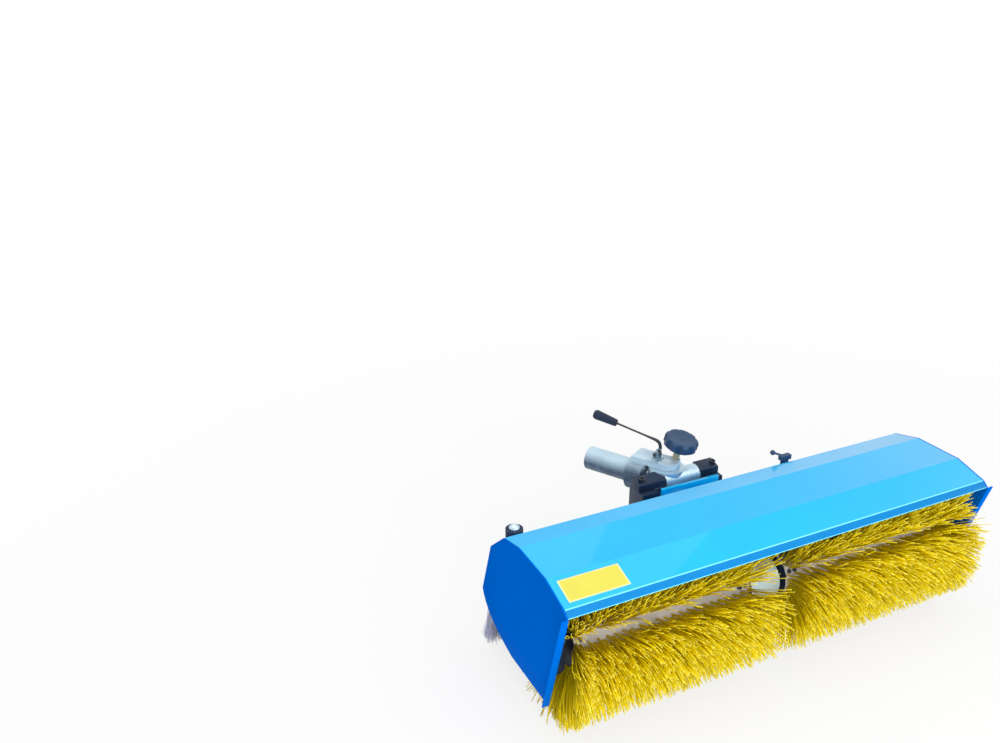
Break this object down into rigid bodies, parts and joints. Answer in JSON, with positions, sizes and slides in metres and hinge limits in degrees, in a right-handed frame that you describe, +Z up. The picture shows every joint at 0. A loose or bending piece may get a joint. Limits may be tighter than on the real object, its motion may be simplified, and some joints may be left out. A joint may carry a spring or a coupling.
{
  "type": "power brush sweeper",
  "caption": "Wide powered rotary brush under a folded blue hood, driven at its middle through a gearbox and carried by a swivelling tube coupling with lever and knob.",
  "frame": {"origin": "on the ground, straight below the brush axis, midway between the side plates", "axes": "+X along the brush to its right end seen from behind the open front, -Y towards the open front, +Z up"},
  "size_m": [1.064, 0.6829, 0.3625],
  "materials": {
    "blue_paint": "glossy blue enamel",
    "black_metal": "black coated metal",
    "black_plastic": "satin black plastic",
    "black_rubber": "matt black rubber",
    "steel": "zinc plated steel",
    "cast_alloy": "satin cast alloy",
    "core_plastic": "pale grey moulded plastic",
    "bristle": "golden yellow brush strands",
    "skirt_bristle": "pale lavender grey strands",
    "yellow_plate": "bare yellow plate"
  },
  "bodies": {
    "hood": {"hood_shell": "blue_paint", "left_side_plate": "blue_paint", "right_side_plate": "blue_paint", "name_plate": "yellow_plate", "mount_plate": "blue_paint", "left_clamp_base": "black_metal", "right_clamp_base": "black_metal", "left_clamp_cap": "black_metal", "right_clamp_cap": "black_metal", "clamp_screws": "steel", "pivot_drum": "steel", "torque_tube": "steel", "drive_bearings": "steel", "gearbox_body": "cast_alloy", "gearbox_cover": "cast_alloy", "gearbox_screws": "steel", "gearbox_bearings": "steel", "left_bearing_hub": "black_metal", "right_bearing_hub": "black_metal", "end_bearings": "steel", "hub_screws": "steel", "skirt_holder": "steel", "skirt_bristles": "skirt_bristle", "buffer_body": "black_rubber", "buffer_cap": "steel", "handle_post": "black_plastic"},
    "handle": {"handle_bar": "black_plastic", "handle_ball": "black_plastic"},
    "head": {"swivel_head": "cast_alloy", "coupling_tube": "steel", "kingpins": "steel", "input_bearings": "steel", "lever_bracket": "steel", "bracket_bolt": "steel"},
    "lever": {"lever_arm": "steel", "lever_collar": "steel", "lever_grip": "black_rubber"},
    "brake": {"brake_pin": "steel"},
    "knob": {"hand_knob": "black_plastic", "knob_stud": "steel"},
    "input": {"input_shaft": "steel", "trunnion_pin": "steel"},
    "drive": {"drive_shaft": "steel", "bevel_pinion": "steel"},
    "brush": {"cross_shaft": "steel", "crown_gear": "steel", "left_core_front": "core_plastic", "left_core_rear": "core_plastic", "right_core_front": "core_plastic", "right_core_rear": "core_plastic", "core_screws": "steel", "left_bristles": "bristle", "right_bristles": "bristle"}
  },
  "joints": [
    {"name": "brush_spin", "type": "hinge", "parent": "hood", "child": "brush", "pos_m": [0, 0, 0.165], "axis": [1, 0, 0], "continuous": true},
    {"name": "drive_spin", "type": "hinge", "parent": "hood", "child": "drive", "pos_m": [-0.012, 0.32206, 0.236], "axis": [0, 0.9766, 0.2153], "continuous": true},
    {"name": "head_swivel", "type": "hinge", "parent": "hood", "child": "head", "pos_m": [-0.012, 0.32206, 0.236], "axis": [0, 0, 1], "range_deg": [-58, 0]},
    {"name": "input_spin", "type": "hinge", "parent": "head", "child": "input", "pos_m": [-0.012, 0.32206, 0.236], "axis": [-0.4848, 0.8746, 0], "continuous": true},
    {"name": "lever_turn", "type": "hinge", "parent": "head", "child": "lever", "pos_m": [-0.02412, 0.34392, 0.304], "axis": [0.8746, 0.4848, 0], "range_deg": [0, 18]},
    {"name": "brake_push", "type": "slide", "parent": "head", "child": "brake", "axis": [0, 0, -1], "range_m": [0, 0.0011]},
    {"name": "knob_turn", "type": "hinge", "parent": "head", "child": "knob", "pos_m": [0.01111, 0.32058, 0.29], "axis": [0.1132, -0.2042, 0.9724], "range_deg": [0, 270]},
    {"name": "handle_turn", "type": "hinge", "parent": "hood", "child": "handle", "pos_m": [0.205, 0.17018, 0.31489], "axis": [0, 0, 1], "range_deg": [-90, 0]}
  ],
  "couplings": [
    {"joint": "drive_spin", "follows": "brush_spin", "ratio": -2},
    {"joint": "input_spin", "follows": "brush_spin", "ratio": -2},
    {"joint": "brake_push", "follows": "lever_turn", "m_per_rad": 0.0035}
  ]
}
